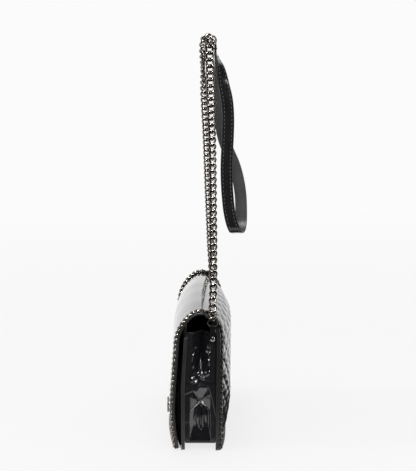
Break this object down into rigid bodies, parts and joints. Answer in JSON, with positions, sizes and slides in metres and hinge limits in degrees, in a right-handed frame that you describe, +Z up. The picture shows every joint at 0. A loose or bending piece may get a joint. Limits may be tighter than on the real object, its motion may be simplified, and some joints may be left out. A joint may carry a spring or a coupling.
{
  "type": "flap shoulder bag with chain strap",
  "caption": "Small black patent leather flap bag with a chain-edged flap, creased gusset ends, quilted back and a chain shoulder strap with a leather loop.",
  "frame": {"origin": "on the floor, under the middle of the outline's box", "axes": "+X along the bag towards its near end, +Y from the flap's face to the quilted back, +Z up"},
  "size_m": [0.2062, 0.0742, 0.3584],
  "materials": {
    "patent_leather": "very glossy black patent leather",
    "strap_patent": "glossy black leather with cut and painted edges",
    "lining_leather": "smooth satin black lining leather",
    "grey_lining": "dull dark grey lining leather",
    "base_board_fibre": "raw pressed fibre board",
    "gunmetal_chain": "polished dark gunmetal plating",
    "gunmetal_trim": "polished dark gunmetal plating",
    "gunmetal_cast": "satin dark gunmetal plating",
    "rivet_steel": "polished dark nickel plating",
    "magnet": "dull black ferrite"
  },
  "bodies": {
    "bag": {"back_panel": "patent_leather", "back_facing": "lining_leather", "back_trim_near": "gunmetal_trim", "back_trim_far": "gunmetal_trim", "back_trim_lower": "gunmetal_trim", "front_panel": "patent_leather", "front_facing": "lining_leather", "base_panel": "patent_leather", "base_board": "base_board_fibre", "base_lining": "lining_leather", "gusset_near": "patent_leather", "gusset_far": "patent_leather", "gusset_lining_near": "lining_leather", "gusset_lining_far": "lining_leather", "inner_pocket": "lining_leather", "ring_tab_near": "patent_leather", "ring_tab_far": "patent_leather", "tab_rivets": "rivet_steel", "snap_cup": "gunmetal_cast", "snap_magnet": "magnet"},
    "flap": {"flap_outer": "patent_leather", "flap_lining": "lining_leather", "flap_trim_near": "gunmetal_trim", "flap_trim_far": "gunmetal_trim", "flap_trim_lower": "gunmetal_trim", "clasp_button": "gunmetal_cast", "snap_stud": "gunmetal_cast"},
    "strap": {"ring_near": "gunmetal_chain", "ring_far": "gunmetal_chain", "chain_near": "gunmetal_chain", "chain_far": "gunmetal_chain", "upper_rings": "gunmetal_chain"},
    "shoulder_strap": {"strap_leather": "strap_patent", "strap_lining": "grey_lining", "strap_ends": "strap_patent", "strap_rivets": "rivet_steel"}
  },
  "joints": [
    {"name": "flap_hinge", "type": "hinge", "parent": "bag", "child": "flap", "pos_m": [0, -0.00253, 0.12493], "axis": [-1, 0, 0], "range_deg": [0, 125]},
    {"name": "strap_swing", "type": "hinge", "parent": "bag", "child": "strap", "pos_m": [0, 0.00597, 0.115], "axis": [-1, 0, 0], "range_deg": [0, 90]},
    {"name": "loop_swing", "type": "hinge", "parent": "strap", "child": "shoulder_strap", "pos_m": [0.033, 0.00547, 0.3538], "axis": [1, 0, 0], "range_deg": [0, 25]}
  ]
}
